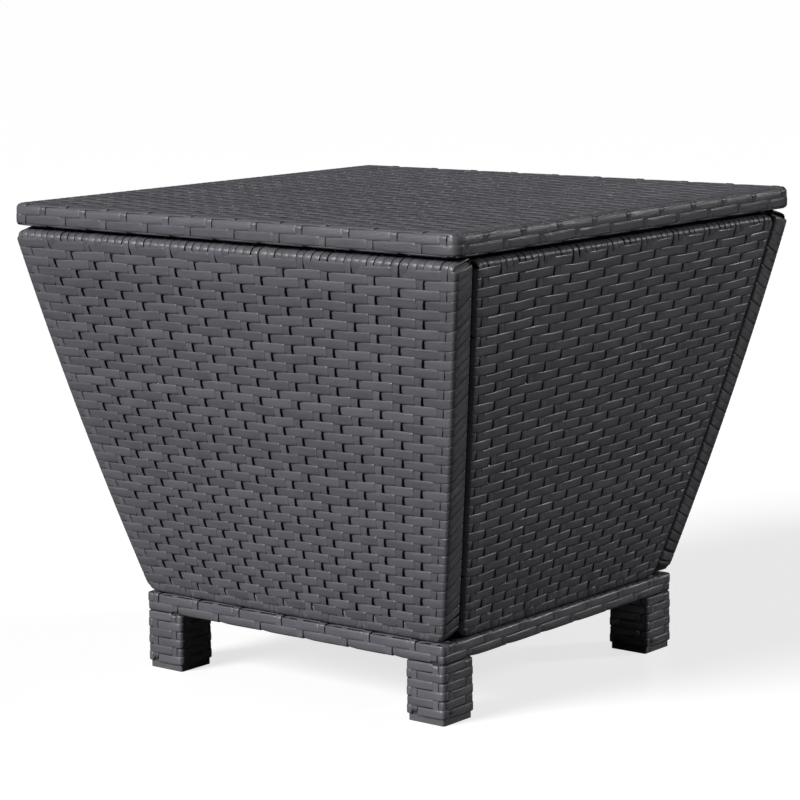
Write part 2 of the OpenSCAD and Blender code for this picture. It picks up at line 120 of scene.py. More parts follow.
def fold_track(legs):
    """The line that ribbon follows round a tube: straight runs, each with the radius of the turn
    after it. Gives run, out, back and the skin's normal, outward and toward the face."""
    rows, run, out, back, heading = [], 0.0, 0.0, 0.0, 0.0
    for straight, radius in legs:
        rows.append((run, out, back, sin(heading), cos(heading)))
        run += straight
        out += straight * cos(heading)
        back += straight * sin(heading)
        centre = (out - radius * sin(heading), back + radius * cos(heading))
        for step in range(fold_steps + 1):
            share = step / fold_steps
            turned = heading + share * pi / 2
            rows.append((run + radius * share * pi / 2, centre[0] + radius * sin(turned),
                         centre[1] - radius * cos(turned), sin(turned), cos(turned)))
        run += radius * pi / 2
        out, back, heading = rows[-1][1], rows[-1][2], heading + pi / 2
    return np.array(rows).T


def follow(track, beyond):
    """Where a skin lies, beyond the end of its flat face."""
    out, back, n_out, n_face = (np.interp(beyond, track[0], track[i]) for i in (1, 2, 3, 4))
    return np.where(beyond < 0, beyond, out), back, n_out, n_face


def rounded_off(distance, radius):
    """How far a rounded corner draws an edge back, by the distance into the corner."""
    into = np.clip(distance, 0, radius)
    return radius - np.sqrt(radius ** 2 - into ** 2)


def unit(normal):
    return normal / (np.linalg.norm(normal, axis=-1, keepdims=True) + 1e-9)


# Crossings. Where a weft goes under an upright it dives on one side and rises slowly on the
# other, with a slit at the upright's right edge or its left edge. The columns are offsets from
# the upright's middle, how deep the weft is, and how far it has slipped sideways.

slit_at_right = np.array([
    (-6, -0.05, 0.76), (-4, -0.03, 0.84), (-3.2, 0.2, 0.87), (-2.4, 0.97, 0.8),
    (2.6, 1, -0.8), (4.2, 0.94, -0.83), (5.8, 0.7, -0.76), (8.6, 0.45, -0.6), (14, 0.08, -0.34),
]).T
slit_at_left = np.array([
    (-7.2, -0.08, 0.7), (-5.8, 0.04, 0.76), (-4.8, 0.7, 0.8), (-3.8, 0.98, 0.84), (-2.6, 1, 0.8),
    (2.4, 0.98, -0.8), (3.2, 0.5, -0.87), (5.8, 0.42, -0.76), (9, 0.34, -0.57), (14, 0.08, -0.34),
]).T
lift_over_upright = 0.05


def weft_run(uprights, under_first, over, under, dive=slit_at_right):
    """u, h and slip of a weft through a row of uprights; under may differ from one to the next."""
    under = np.broadcast_to(under, np.shape(uprights))
    dive_at, dive_deep, dive_slip = dive
    u, h, slip = [], [], []
    for n, at in enumerate(uprights):
        if (n % 2 == 0) == under_first:
            u.append(at + dive_at)
            h.append(over + (under[n] - over) * dive_deep)
            slip.append(dive_slip)
        else:
            u.append([at])
            h.append([over + lift_over_upright])
            slip.append([0])
    return np.concatenate(u), np.concatenate(h), np.concatenate(slip)


def inside_of(limit, over, ease, u, h, slip):
    """The part of a run that lies within a limit on both sides, eased up to its height there."""
    keep = np.abs(u) < limit - a_hair
    rise = np.clip((limit - np.abs(u)) / ease, 0, 1)
    return u[keep], (over + (h - over) * rise)[keep], slip[keep]


def hand_wave(phase):
    """The uneven run of rows woven by hand."""
    def wave(u, v):
        return (0.42 * np.sin(u / 31 + v / 67 + phase) + 0.30 * np.sin(u / 13 - v / 53 + 2.3 * phase)
                + 0.16 * np.sin(u / 6.1 + v / 29 + 4.1 * phase))
    return wave


# Ribbon colour and grain: black pigmented plastic with fine drawn lines along it, a slightly
# different tone from one length to the next, and a sheen that the lines break up.


def shader_group(name, inputs, outputs):
    group = bpy.data.node_groups.new(name, "ShaderNodeTree")
    for label in inputs:
        group.interface.new_socket(label, in_out="INPUT", socket_type="NodeSocketFloat")
    for label in outputs:
        group.interface.new_socket(label, in_out="OUTPUT", socket_type="NodeSocketFloat")
    return group, group.nodes.new("NodeGroupInput"), group.nodes.new("NodeGroupOutput")


def math_node(tree, kind, a, b=None):
    node = tree.nodes.new("ShaderNodeMath")
    node.operation = kind
    for socket, value in zip(node.inputs, (a, b)):
        if value is None:
            continue
        if isinstance(value, (int, float)):
            socket.default_value = value
        else:
            tree.links.new(value, socket)
    return node.outputs[0]


def weighed_sum(tree, *parts):
    """Adds up outputs, each times its share."""
    total = None
    for output, share in parts:
        scaled = math_node(tree, "MULTIPLY", output, share)
        total = scaled if total is None else math_node(tree, "ADD", total, scaled)
    return total


def new_material(name):
    material = bpy.data.materials.new(name)
    material.use_nodes = True
    return material, material.node_tree, material.node_tree.nodes["Principled BSDF"]


def tone_ramp(tree, tone, dark, pale, pale_from):
    """The colour for a tone: dark up to 0.35 and pale from pale_from on."""
    ramp = tree.nodes.new("ShaderNodeValToRGB")
    for element, position, colour in zip(ramp.color_ramp.elements, (0.35, pale_from), (dark, pale)):
        element.position = position
        element.color = (*colour, 1)
    tree.links.new(tone, ramp.inputs[0])
    return ramp.outputs[0]


def surface_bump(tree, height, strength, distance):
    bump = tree.nodes.new("ShaderNodeBump")
    bump.inputs["Strength"].default_value = strength
    bump.inputs["Distance"].default_value = distance
    tree.links.new(height, bump.inputs["Height"])
    return bump.outputs["Normal"]


def drawn_lines_group():
    """Tone and height of the lines drawn along a ribbon, and a tone for each length of it."""
    group, _, out = shader_group("drawn_lines", [], ["Lines", "Cloud", "Length Tone", "Height"])
    marks = group.nodes.new("ShaderNodeAttribute")
    marks.attribute_name = "ribbon"
    split = group.nodes.new("ShaderNodeSeparateXYZ")
    group.links.new(marks.outputs["Vector"], split.inputs[0])
    run, across, length = split.outputs
    apart = math_node(group, "MULTIPLY", length, 90)

    def streaks(along, side, detail):
        join = group.nodes.new("ShaderNodeCombineXYZ")
        group.links.new(math_node(group, "MULTIPLY", run, along), join.inputs[0])
        group.links.new(math_node(group, "MULTIPLY", across, side), join.inputs[1])
        group.links.new(apart, join.inputs[2])
        noise = group.nodes.new("ShaderNodeTexNoise")
        noise.inputs["Scale"].default_value = 1
        noise.inputs["Detail"].default_value = detail
        group.links.new(join.outputs[0], noise.inputs["Vector"])
        return noise.outputs["Fac"]

    lines = streaks(0.035, 2.6, 3)
    ribs = math_node(group, "SINE", math_node(group, "MULTIPLY", across, 5.6))
    height = math_node(group, "ADD", math_node(group, "MULTIPLY", ribs, 0.22), lines)
    group.links.new(lines, out.inputs["Lines"])
    group.links.new(streaks(0.05, 0.12, 2), out.inputs["Cloud"])
    group.links.new(length, out.inputs["Length Tone"])
    group.links.new(height, out.inputs["Height"])
    return group


def ribbon_material(name, dark, pale, roughness):
    material, tree, shader = new_material(name)
    shader.inputs["Specular IOR Level"].default_value = 0.42
    grain = tree.nodes.new("ShaderNodeGroup")
    grain.node_tree = drawn_lines_group()
    tone = weighed_sum(tree, (grain.outputs["Lines"], 0.75), (grain.outputs["Length Tone"], 0.35),
                       (grain.outputs["Cloud"], 0.4))
    lines = math_node(tree, "MULTIPLY", grain.outputs["Lines"], 0.22)
    rough = math_node(tree, "ADD", lines, roughness)
    tree.links.new(tone_ramp(tree, tone, dark, pale, 1), shader.inputs["Base Color"])
    tree.links.new(rough, shader.inputs["Roughness"])
    tree.links.new(surface_bump(tree, grain.outputs["Height"], 0.55, 0.00025),
                   shader.inputs["Normal"])
    return material


black_ribbon = ribbon_material("black_ribbon", (0.062, 0.060, 0.069), (0.112, 0.110, 0.124), 0.22)

# Box sides. Four leaning panels, each a welded ring of square tube with ribbon woven across it.
# Forty wefts run across the fanned uprights, 20 or 18 of them, and wrap the side tubes; the
# uprights and two more wraps between each pair fold over the rim and the foot tube.

foot_width = 340.8
rim_width = 499.6
box_height = 332.6
side_tilt = atan((rim_width - foot_width) / 2 / box_height)
stile_lean = atan(sin(side_tilt))
side_length = box_height / cos(side_tilt)
side_depth = 24.0
seam_gap = 0.6
inset_foot_half = foot_width / 2 - side_depth / cos(side_tilt) - seam_gap
side_bow = 2.9
side_corner = 10.0
stile_fold = 4.0
rim_fold = 6.0
foot_fold = 4.0
base_top = box_of("floor_weave")[1][2]
foot_off_base = 0.2
foot_up = base_top + foot_off_base - foot_fold * (cos(side_tilt) + sin(side_tilt) - 1)
tube_edge = 2.5
tuck = 3.1
sharp_turn = 0.1
inner_rim_edge = 3.0
bolt_from_end = 64.0

weft_rows = 40
weft_start = 1.3
weft_pitch = (side_length - rim_fold - weft_start) / weft_rows
weft_wide, wrap_wide = 8.88, 8.3
side_slip = 0.75
stile_clear, stile_ease = 0.4, 4.5
rail_deep = 22.0
over_h, under_h, rail_under_h, stile_under_h = -0.63, -3.1, -2.35, -1.45
climb_round_stile, stile_round = 5.6, 26.0
rows_to_full_climb = 3
pairing, pairing_run = 0.28, 4.0
bolt_parting, bolt_parting_reach, bolt_round = 4.2, 15.0, 13.0

upright_wide, upright_thick = 7.2, 0.95
upright_from_edge = 13.0
upright_sway = 0.8
upright_high, upright_low = -0.35, -1.7
stile_high, stile_low = -0.4, -1.5
folded_h = -0.75

rail_wrap_wide, rail_wrap_thick, rail_wrap_h = 8.4, 1.1, -0.68
corner_wrap_out, corner_wrap_wide = 6.1, 4.8
wrap_overlap = 0.5
wrap_shift, wrap_lean, lean_run = 0.4, 0.8, 20
hinge_at = (box_of("right_hinge_pin")[0][0] + box_of("right_hinge_pin")[1][0]) / 2
hinge_bare = 31 + upright_wide / 2
bare_over_rim = (3.6, 28.5)

stile_track = fold_track([(0, stile_fold), (side_depth - 2 * stile_fold, stile_fold),
                          (side_depth - stile_fold - tube_edge, tube_edge),
                          (side_depth - tube_edge - tuck, sharp_turn)])
rim_track = fold_track([(0, rim_fold), (side_depth - rim_fold - inner_rim_edge, inner_rim_edge),
                        (side_depth - inner_rim_edge - tube_edge, tube_edge),
                        (side_depth - tube_edge - tuck, sharp_turn)])

# Where ribbon that wraps a tube has its points: close together in the turns, far apart between.
end_wrap = np.array([0, 1.6, 3.1, 4.7, 6.3, 14, 22.3, 23.9, 25.4, 27, 28.6, 37, 46.1, 48, 50, 66])
rim_wrap = np.array([0, 1.9, 3.8, 5.6, 7.5, 9.4, 17, 24.4, 26, 27.6, 29.1, 38, 47.6, 49.5, 51.5, 68])


def bow_at(up):
    """How far the weave bows outward, at a height up the slant."""
    return 4 * side_bow * up / side_length * (1 - up / side_length)


def over_rails(v):
    """Where ribbon lies that runs up the slant: over the rim and under the foot it folds."""
    over = follow(rim_track, v - (side_length - rim_fold))
    below = follow(stile_track, foot_fold - v)
    at_rim = v > side_length / 2
    out, back, away, face = (np.where(at_rim, a, b) for a, b in zip(over, below))
    return np.where(at_rim, side_length - rim_fold + out, foot_fold - out), back, away, face


def side_skin(foot_half, ends):
    """The skin of a box side in its own frame: across, up the slant, out of the face. Ribbon that
    wraps the ends follows the corners' rounding there, and ribbon that wraps the rails follows
    it along the rim and the foot."""
    def skin(u, v, h):
        up = np.clip(v, 0, side_length)
        bow = bow_at(up)
        half = foot_half + up * tan(stile_lean) + bow
        near = np.maximum(up - (side_length - side_corner), side_corner - up)
        inward = np.abs(u) - (half - side_corner)
        if ends:
            half = half - rounded_off(near, side_corner)
        drawn = 0 if ends else rounded_off(inward, side_corner)
        out_u, back_u, side_u, face_u = follow(stile_track, np.abs(u) - (half - stile_fold))
        level, back_v, side_v, face_v = over_rails(v)
        way = np.where(v > side_length / 2, 1, -1)
        x = np.sign(u) * (half - stile_fold + out_u)
        normal = unit(np.stack([np.sign(u) * side_u, way * side_v, face_u * face_v], -1))
        return np.stack([x, level - way * drawn, bow - back_u - back_v], -1) + normal * h[..., None]
    return skin


def side_place(quarter):
    """Stands a side's frame on the base, leaning outward, and turns it to its side of the box."""
    return (Matrix.Scale(0.001, 4) @ Matrix.Rotation(quarter * pi / 2, 4, "Z")
            @ Matrix.Translation((0, -foot_width / 2, foot_up))
            @ Matrix.Rotation(pi / 2 + side_tilt, 4, "X") @ Matrix.Scale(1000, 4))


def upright_place(foot_half, intervals):
    def upright(n, v):
        """How far across an upright is; n may lie between two of them. They fan out with the
        side, and all but the outer two sway a little."""
        up = np.clip(over_rails(v)[0], 0, side_length)
        half = foot_half + bow_at(up) + up * tan(stile_lean) - upright_from_edge
        inner = (n > 0) & (n < intervals)
        return half * (2 * n / intervals - 1) + upright_sway * np.sin(v / 41 + 2.1 * n) * inner
    return upright


def row_middle(row):
    """How far up the slant the middle of a row is."""
    return weft_start + (row + 0.5) * weft_pitch


def lay_wefts(bundle, skin, upright, intervals, bolts, slit, wave):
    """The wefts, from stile to stile and round both. Beyond the face they climb toward the back
    in close pairs, and part round the bolts."""
    for row in range(weft_rows):
        v0 = row_middle(row)
        at = np.array([upright(n, v0) for n in range(intervals + 1)])
        on_rail = v0 < rail_deep or v0 > side_length - rail_deep
        deep = np.full(len(at), rail_under_h if on_rail else under_h)
        deep[[0, -1]] = stile_under_h
        flat_end = at[-1] + upright_from_edge - stile_fold
        u, h, slip = inside_of(flat_end - stile_clear, over_h, stile_ease,
                               *weft_run(at, row % 2 == 0, over_h, deep, slit))
        away = np.concatenate([end_wrap[::-1], np.zeros(len(u)), end_wrap])
        u = np.concatenate([-flat_end - end_wrap[::-1], u, flat_end + end_wrap])
        h = np.pad(h, len(end_wrap), constant_values=over_h)
        v = v0 + wave(u, v0) * (away == 0) + side_slip * np.pad(slip, len(end_wrap))
        room = min(1, row / rows_to_full_climb, (weft_rows - 1 - row) / rows_to_full_climb)
        v = v + climb_round_stile * room * np.clip(away, 0, stile_round) / stile_round
        v = v + pairing * (-1) ** row * np.clip(away / pairing_run, 0, 1)
        for bolt in bolts:
            part = np.exp(-((v0 - bolt) / bolt_parting_reach) ** 2) * np.clip(away / bolt_round, 0, 1)
            v = v + np.sign(v0 - bolt) * bolt_parting * part
        wide = np.interp(away, [0, pairing_run], [weft_wide, wrap_wide])
        lay_ribbon(bundle, skin, u, v, h, wide)


def lay_over_rails(bundle, skin, u, v, h, wide, thick, hinged):
    """Ribbon over the rim or the foot, left out where a hinge leaf lies on the bare steel."""
    over = v - (side_length - rim_fold)
    on_rim = abs(u[np.argmin(np.abs(over - rim_fold))])
    parts = [np.full(len(v), True)]
    if hinged and abs(on_rim - hinge_at) < hinge_bare and over.max() > rim_fold:
        parts = [over < bare_over_rim[0], over > bare_over_rim[1]]
    for part in parts:
        lay_ribbon(bundle, skin, u[part], v[part], h[part], wide, thick, plain_section)


def lay_uprights(bundle, skin, upright, intervals, hinged):
    """The uprights, low under every second weft, and folded over the rim and under the foot."""
    steps = np.arange(2 * weft_rows - 1)
    rim = side_length - rim_fold + rim_wrap[1:]
    foot = foot_fold - end_wrap[:0:-1]
    v = np.concatenate([foot, row_middle(steps / 2), rim])
    for n in range(intervals + 1):
        stile = n in (0, intervals)
        low, high = (stile_low, stile_high) if stile else (upright_low, upright_high)
        shows = (n + steps // 2) % 2 == 0
        h = np.where(steps % 2 == 1, (low + high) / 2, np.where(shows, high, low))
        h = np.concatenate([np.full(len(foot), folded_h), h, np.full(len(rim), folded_h)])
        lay_over_rails(bundle, skin, upright(n, v), v, h, upright_wide, upright_thick, hinged)


def lay_rail_wraps(bundle, skin, upright, intervals, hinged):
    """Two wraps between each pair of uprights, and a narrow one beyond the outer two, over the
    rim and under the foot. Their front ends are tucked behind the wefts."""
    behind = np.array([-11, -6, -2.5])
    behind_h = np.array([-1.95, -1.6, -0.9])
    between = np.concatenate([np.arange(intervals) + 1 / 3, np.arange(intervals) + 2 / 3])
    for at_rim in (True, False):
        wrap = rim_wrap if at_rim else end_wrap
        beyond = np.concatenate([behind, wrap])
        v = side_length - rim_fold + beyond if at_rim else foot_fold - beyond
        h = np.concatenate([behind_h, np.full(len(wrap), rail_wrap_h)])
        spacing = 2 * upright(intervals, v[len(behind)]) / intervals
        wide = min(rail_wrap_wide, spacing / 3 + wrap_overlap)
        for n in between:
            shift = chance.uniform(-wrap_shift, wrap_shift)
            lean = chance.uniform(-wrap_lean, wrap_lean) * np.clip(beyond, 0, lean_run) / lean_run
            lay_over_rails(bundle, skin, upright(n, v) + (shift + lean), v, h, wide,
                           rail_wrap_thick, hinged)
        for n, way in ((0, -1), (intervals, 1)):
            lay_over_rails(bundle, skin, upright(n, v) + way * corner_wrap_out, v, h,
                           corner_wrap_wide, rail_wrap_thick, hinged)


bolt_heights = (bolt_from_end * cos(stile_lean), side_length - bolt_from_end * cos(stile_lean))
for quarter, side in enumerate(("front", "right", "back", "left")):
    full = quarter % 2 == 0
    foot_half, intervals = (foot_width / 2, 19) if full else (inset_foot_half, 17)
    upright = upright_place(foot_half, intervals)
    woven = new_bundle()
    lay_wefts(woven, side_skin(foot_half, True), upright, intervals, () if full else bolt_heights,
              slit_at_right if full else slit_at_left, hand_wave(1.7 * quarter))
    rails = side_skin(foot_half, False)
    lay_uprights(woven, rails, upright, intervals, side == "back")
    lay_rail_wraps(woven, rails, upright, intervals, side == "back")
    piece = weave_piece(side + "_side_ribbon", woven, side_place(quarter))
    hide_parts(side + "_panel_weave")
    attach(piece, "box")

# Base floor and apron. The welded base ring is woven over as a storage floor, whose uprights
# fold down over the rails as stakes, and two rows of ribbon run round them as an apron.

base_half = box_of("floor_weave")[1][0]
apron_high = base_top - box_of("floor_weave")[0][2]
base_corner = 4.0
base_fold = 2.5
base_tube_edge = 1.3
base_tuck = 3.2
base_track = fold_track([(0, base_fold), (apron_high - 2 * base_fold, base_fold),
                         (apron_high - base_fold - base_tube_edge, base_tube_edge),
                         (apron_high - base_tube_edge - base_tuck, sharp_turn)])
apron_rows = (6.8, 15.3)
apron_wide = 9.0
apron_over_h, apron_under_h = -0.69, -1.75
apron_stakes = np.concatenate([[-161.0], np.linspace(-137.5, 137.5, 12), [161.0]])
legs_from = 130.0
floor_rows = 40
floor_pitch = (2 * base_half - 2 * base_fold) / floor_rows
floor_wide = 8.7
floor_under_h = -2.2
floor_slip, floor_wave_share = 0.75, 0.8
floor_clear, floor_ease = 3.4, 3.0
floor_upright_high, floor_upright_mid, floor_upright_low = -0.9, -1.3, -1.65
stake_thick = 0.9
stake_over_h, stake_under_h = -0.42, -1.4
stake_row_before, stake_row_half, stake_row_far = 4.4, 2.6, 4.3
stake_start, stake_start_h = (-4, 0), -1.7
round_slip = 0.6
round_start, round_stop = 0.2, 0.6
post_clear, point_clear = 6.5, 0.3


def slab_skin(half, corner, fold, top, track, ends):
    """The skin of a flat woven slab, folded down at its edges."""
    def skin(u, v, h):
        half_u = half - (rounded_off(np.abs(v) - (half - corner), corner) if ends else 0)
        half_v = half - (0 if ends else rounded_off(np.abs(u) - (half - corner), corner))
        out_u, back_u, side_u, face_u = follow(track, np.abs(u) - (half_u - fold))
        out_v, back_v, side_v, face_v = follow(track, np.abs(v) - (half_v - fold))
        normal = unit(np.stack([np.sign(u) * side_u, np.sign(v) * side_v, face_u * face_v], -1))
        x = np.sign(u) * (half_u - fold + out_u)
        y = np.sign(v) * (half_v - fold + out_v)
        return np.stack([x, y, top - back_u - back_v], -1) + normal * h[..., None]
    return skin


def edge_skin(half, corner, fold, top, track):
    """The skin round a slab's edge: along the edge, and from the end of the flat face downward
    as negative values. The first side is the front, from left to right."""
    straight, arc = 2 * (half - corner), corner * pi / 2

    def skin(u, v, h):
        quarter, along = np.divmod(u, straight + arc)
        out, back, n_out, n_face = follow(track, -v)
        angle = np.clip((along - straight) / corner, 0, pi / 2)
        reach = corner - fold + out + n_out * h
        x = np.minimum(along, straight) - (half - corner) + np.sin(angle) * reach
        y = -(half - corner) - np.cos(angle) * reach
        return turned_about(x, y, top - back + n_face * h, quarter)
    return skin, straight + arc


def turned_about(x, y, z, quarter):
    """Places turned about the vertical by quarter turns."""
    turn = quarter * pi / 2
    return np.stack([x * np.cos(turn) - y * np.sin(turn), x * np.sin(turn) + y * np.cos(turn), z], -1)


def lay_round(bundle, skin, lap, half, corner, stakes, row_at, under_first, over, under, wide):
    """One row of ribbon right round an edge; its two ends meet behind a stake."""
    posts = (np.arange(4)[:, None] * lap + stakes + half - corner).ravel()
    start = 0 if under_first else 1
    posts = np.append(np.roll(posts, -start), posts[start])
    posts[np.arange(len(posts)) >= len(posts) - 1 - start] += 4 * lap
    u, h, slip = weft_run(posts, True, over, under)
    turns = (np.arange(5)[:, None] * lap + 2 * (half - corner)
             + np.linspace(0, corner * pi / 2, fold_steps + 1)).ravel()
    bare = [t for t in turns
            if np.abs(posts - t).min() > post_clear and np.abs(u - t).min() > point_clear]
    every = np.sort(np.concatenate([u, bare]))
    u, h, slip = every, np.interp(every, u, h), np.interp(every, u, slip)
    keep = (u > posts[0] - round_start) & (u < posts[-1] - round_stop)
    lay_ribbon(bundle, skin, u[keep], -row_at + round_slip * slip[keep], h[keep], wide)


def stake_height(beyond, rows, first_under, over, under):
    """How high a stake lies where it passes the rows of an edge."""
    mid = (over + under) / 2
    at, high = [rows[0] - stake_row_before], [mid]
    for n, row in enumerate(rows):
        level = over if (n % 2 == 0) == first_under else under
        at += [row - stake_row_half, row + stake_row_half, row + stake_row_far]
        high += [level, level, mid]
    return np.interp(beyond, at, high)


def edged(middle, left, right):
    """A run along a row, with what comes before its left end and after its right end."""
    return np.concatenate([left, middle, right])


floor_weave = new_bundle()
floor_across = slab_skin(base_half, base_corner, base_fold, base_top, base_track, True)
floor_along = slab_skin(base_half, base_corner, base_fold, base_top, base_track, False)
floor_wave = hand_wave(5.1)
floor_end = np.array([-3, -1, 0, 1.3, 2.6, 3.9, 6])
floor_end_h = np.array([-0.7, -0.8, -1, -1.5, -1.6, -1.6, -1.6])
for row in range(floor_rows):
    v0 = (row - (floor_rows - 1) / 2) * floor_pitch
    flat_end = base_half - base_fold - rounded_off(abs(v0) - (base_half - base_corner), base_corner)
    u, h, slip = inside_of(flat_end - floor_clear, over_h, floor_ease,
                           *weft_run(apron_stakes, row % 2 == 0, over_h, floor_under_h))
    v = v0 + floor_wave(u, v0) * floor_wave_share + floor_slip * slip
    v = np.pad(v, len(floor_end), mode="edge")
    u = edged(u, -flat_end - floor_end[::-1], flat_end + floor_end)
    h = edged(h, floor_end_h[::-1], floor_end_h)
    lay_ribbon(floor_weave, floor_across, u, v, h, floor_wide)

stake_down = np.array([1.3, 2.6, 3.9, 6.8, 11.2, 15.3, 16.9, 18.2, 19.5, 20.9, 28, 35.4, 36.4,
                       37.4, 46])
leg_stake_down = np.append(stake_down[:5], [15.3, 16.6])
floor_steps = np.arange(2 * floor_rows - 1)
near_end = base_half - base_fold
for n, at in enumerate(apron_stakes):
    down = leg_stake_down if abs(at) > legs_from else stake_down
    shows = (n + floor_steps // 2) % 2 == 0
    h = np.where(shows, floor_upright_high, floor_upright_low)
    h = np.where(floor_steps % 2 == 1, floor_upright_mid, h)
    front_h, back_h = (stake_height(down, apron_rows, n % 2 == odd, stake_over_h, stake_under_h)
                       for odd in (0, 1))
    v = edged((floor_steps - floor_rows + 1) / 2 * floor_pitch, -near_end - down[::-1],
              near_end + down)
    h = edged(h, front_h[::-1], back_h)
    lay_ribbon(floor_weave, floor_along, np.full(len(v), at), v, h, upright_wide, stake_thick,
               plain_section)
    for way in (-1, 1):
        beyond = np.concatenate([stake_start, down])
        h = stake_height(beyond, apron_rows, (n % 2 == 0) == (way == 1), stake_over_h,
                         stake_under_h)
        h[:len(stake_start)] = stake_start_h
        u = way * (near_end + beyond)
        lay_ribbon(floor_weave, floor_across, u, np.full(len(u), at), h, upright_wide, stake_thick,
                   plain_section)

apron, apron_lap = edge_skin(base_half, base_corner, base_fold, base_top, base_track)
for n, row_at in enumerate(apron_rows):
    lay_round(floor_weave, apron, apron_lap, base_half, base_corner, apron_stakes, row_at, n == 0,
              apron_over_h, apron_under_h, apron_wide)

piece = weave_piece("floor_and_apron_ribbon", floor_weave, Matrix())
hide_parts("floor_weave")
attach(piece, "box")

# Leg sleeves. Each square leg tube is woven round with six rows of ribbon over two stakes a face,
# from the apron down to its foot cap.

leg_low, leg_high = box_of("back_right_leg_weave")
leg_centre = (leg_low[0] + leg_high[0]) / 2
leg_half = (leg_high[0] - leg_low[0]) / 2
leg_corner = 4.0
sleeve_past_cap, sleeve_past_rail = 0.1, 0.2
sleeve_low, sleeve_high = leg_low[2] - sleeve_past_cap, leg_high[2] + sleeve_past_rail
leg_rows = 6
leg_pitch = (sleeve_high - sleeve_low) / leg_rows
leg_wide = leg_pitch + 0.1
leg_over_h, leg_under_h = -0.62, -1.5
leg_stakes = np.array([-11.5, 11.5])
leg_stake_wide, leg_stake_start = 6.6, 0.5
leg_stake_high, leg_stake_low = -0.45, -1.5
leg_straight, leg_arc = 2 * (leg_half - leg_corner), leg_corner * pi / 2
leg_lap = leg_straight + leg_arc


def leg_skin(u, v, h):
    quarter, along = np.divmod(u, leg_lap)
    angle = np.clip((along - leg_straight) / leg_corner, 0, pi / 2)
    reach = leg_corner + h
    x = np.minimum(along, leg_straight) - (leg_half - leg_corner) + np.sin(angle) * reach
    y = -(leg_half - leg_corner) - np.cos(angle) * reach
    return turned_about(x, y, np.broadcast_to(v, x.shape), quarter)


for leg, (way_x, way_y) in {"front_left": (-1, -1), "front_right": (1, -1),
                            "back_right": (1, 1), "back_left": (-1, 1)}.items():
    sleeve = new_bundle()
    for row in range(leg_rows):
        at = sleeve_high - (row + 0.5) * leg_pitch
        lay_round(sleeve, leg_skin, leg_lap, leg_half, leg_corner, leg_stakes, -at,
                  row % 2 == 1, leg_over_h, leg_under_h, leg_wide)
    for n in range(8):
        at = (n // 2) * leg_lap + leg_half - leg_corner + leg_stakes[n % 2]
        v = sleeve_high - leg_stake_start - np.arange(2 * leg_rows) * leg_pitch / 2
        row = (sleeve_high - v) / leg_pitch - 0.5
        rows = np.arange(leg_rows)
        shows = (n + rows) % 2 == 1
        h = np.interp(row, rows, np.where(shows, leg_stake_high, leg_stake_low))
        lay_ribbon(sleeve, leg_skin, np.full(len(v), at), v[::-1], h[::-1], leg_stake_wide,
                   stake_thick, plain_section)
    place = Matrix.Translation((way_x * leg_centre / 1000, way_y * leg_centre / 1000, 0))
    piece = weave_piece(leg + "_leg_ribbon", sleeve, place)
    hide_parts(leg + "_leg_weave")
    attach(piece, "box")

# Lid. A welded tube ring with two bars, woven over its top. The uprights run from front to back
# and fold down the edge as stakes; rows of ribbon run right round the edge and under it.

lid_half = box_of("lid_weave")[1][0]
lid_top = box_of("lid_weave")[1][2]
lid_thick = lid_top - box_of("lid_weave")[0][2]
lid_corner = 10.0
lid_fold = 5.0
lid_under_fold = 3.0
lid_track = fold_track([(0, lid_fold), (lid_thick - lid_fold - lid_under_fold, lid_under_fold),
                        (lid_thick - lid_under_fold - tube_edge, tube_edge),
                        (lid_thick - tube_edge - base_tuck, sharp_turn)])
lid_bars, bar_reach, side_tube_from = 84.0, 11.0, 228.0
lid_stakes = np.linspace(-236.2, 236.2, 20)
on_bar = np.abs(np.abs(lid_stakes) - lid_bars) < bar_reach
on_tube = on_bar | (np.abs(lid_stakes) > side_tube_from)
lid_rows = 58
lid_row_reach = 4.2
lid_pitch = 2 * (lid_half - lid_fold + lid_row_reach) / lid_rows
lid_row_wide = 8.85
lid_over_h, lid_under_h, lid_tube_under_h = -0.8, -3.5, -1.7
end_tube_from, straight_rows_from = 226.0, 230.0
lid_slip, straight_row_slip, lid_wave_share = 0.75, 0.4, 0.8
lid_clear, lid_ease = 2.4, 5.0
lid_upright_high, lid_upright_low, lid_tube_upright_low = -0.47, -1.75, -1.55

last_flat_row = -0.1
edge_rows = (8.7, 17.1)
under_rows = (25.6, 34.2)
passed_rows = (last_flat_row, *edge_rows, *under_rows)
edge_row_wide, edge_over_h, edge_under_h = 9.0, -0.69, -1.55
under_row_wide, under_row_over_h, under_row_under_h = 8.8, -0.6, -1.5
under_row_reach, under_row_clear = (248, 221), 0.5
lid_stake_wide = 7.4
lid_stake_over_h, lid_stake_under_h = -0.45, -1.45
lid_stake_start_h, lid_stake_start_until = -2.1, 4.0
bare_down = 20.0

